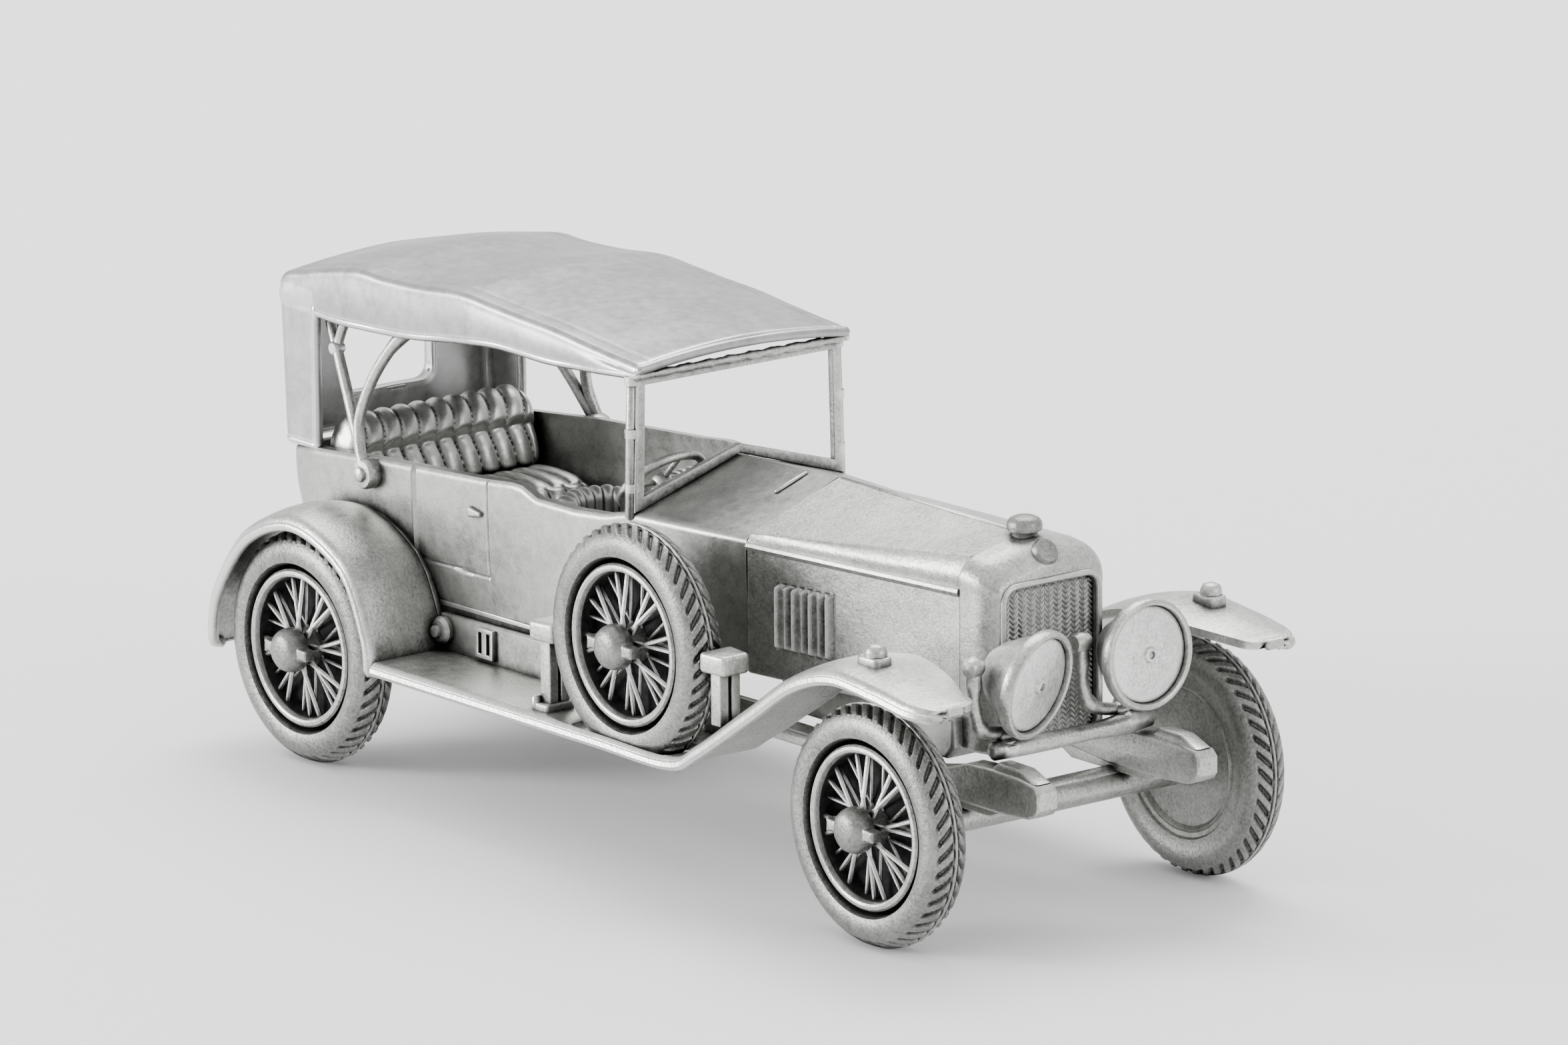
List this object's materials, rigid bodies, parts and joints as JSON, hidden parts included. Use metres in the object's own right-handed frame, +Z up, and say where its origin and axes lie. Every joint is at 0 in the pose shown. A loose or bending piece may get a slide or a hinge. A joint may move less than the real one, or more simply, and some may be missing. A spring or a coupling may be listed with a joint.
{
  "type": "scale model car",
  "caption": "Cast pewter scale model of a 1920s open touring car with its hood up, wire-spoked wheels that turn and a spare wheel on the running board.",
  "frame": {"origin": "on the ground under the middle of the overall footprint", "axes": "+X towards the car's front, +Y towards the car's left, +Z up"},
  "size_m": [0.0914, 0.0382, 0.0395],
  "materials": {
    "body_casting": "cast white metal (pewter), satin with fine sand grain",
    "hood_casting": "cast white metal (pewter), smoother satin, folded like cloth",
    "tyre_casting": "cast white metal (pewter), sand-grained, dark patina in the tread",
    "wheel_casting": "cast white metal (pewter), bright spokes over a blackened recess",
    "seat_casting": "cast white metal (pewter), pleated like leather, darkened between the pleats",
    "lamp_face": "cast white metal (pewter), bright grained disc",
    "radiator_mesh": "cast white metal (pewter), fine woven pattern with dark patina",
    "plated_screw": "zinc-plated steel"
  },
  "bodies": {
    "car": {"base_screw_front": "plated_screw", "base_screw_rear": "plated_screw", "body_tub": "body_casting", "bonnet": "body_casting", "chassis_frame": "body_casting", "front_axle": "body_casting", "front_seat_left": "seat_casting", "front_seat_right": "seat_casting", "headlamp_lens_left": "lamp_face", "headlamp_lens_right": "lamp_face", "headlamp_shell_left": "body_casting", "headlamp_shell_right": "body_casting", "hood_canopy": "hood_casting", "hood_irons_left": "body_casting", "hood_irons_right": "body_casting", "lamp_bar": "body_casting", "radiator_badge": "body_casting", "radiator_cap": "body_casting", "radiator_core": "radiator_mesh", "radiator_shell": "body_casting", "rear_axle": "body_casting", "rear_seat": "seat_casting", "rear_wing_left": "body_casting", "rear_wing_right": "body_casting", "side_lamp_left": "body_casting", "side_lamp_right": "body_casting", "spare_bracket_front": "body_casting", "spare_bracket_rear": "body_casting", "spare_hub_nut": "body_casting", "spare_spoke_insert": "wheel_casting", "spare_tyre": "tyre_casting", "steering_column": "body_casting", "steering_wheel": "body_casting", "windscreen_frame": "body_casting", "wing_board_left": "body_casting", "wing_board_right": "body_casting"},
    "front_right_wheel": {"front_right_tyre": "tyre_casting", "front_right_spoke_insert": "wheel_casting", "front_right_hub_nut": "body_casting"},
    "front_left_wheel": {"front_left_tyre": "tyre_casting", "front_left_spoke_insert": "wheel_casting", "front_left_hub_nut": "body_casting"},
    "rear_right_wheel": {"rear_right_tyre": "tyre_casting", "rear_right_spoke_insert": "wheel_casting", "rear_right_hub_nut": "body_casting"},
    "rear_left_wheel": {"rear_left_tyre": "tyre_casting", "rear_left_spoke_insert": "wheel_casting", "rear_left_hub_nut": "body_casting"}
  },
  "joints": [
    {"name": "front_right_wheel_spin", "type": "hinge", "parent": "car", "child": "front_right_wheel", "pos_m": [0.03529, -0.0151, 0.00917], "axis": [0, 1, 0], "continuous": true},
    {"name": "front_left_wheel_spin", "type": "hinge", "parent": "car", "child": "front_left_wheel", "pos_m": [0.03529, 0.0157, 0.00917], "axis": [0, 1, 0], "continuous": true},
    {"name": "rear_right_wheel_spin", "type": "hinge", "parent": "car", "child": "rear_right_wheel", "pos_m": [-0.03411, -0.0151, 0.00917], "axis": [0, 1, 0], "continuous": true},
    {"name": "rear_left_wheel_spin", "type": "hinge", "parent": "car", "child": "rear_left_wheel", "pos_m": [-0.03411, 0.0157, 0.00917], "axis": [0, 1, 0], "continuous": true}
  ]
}
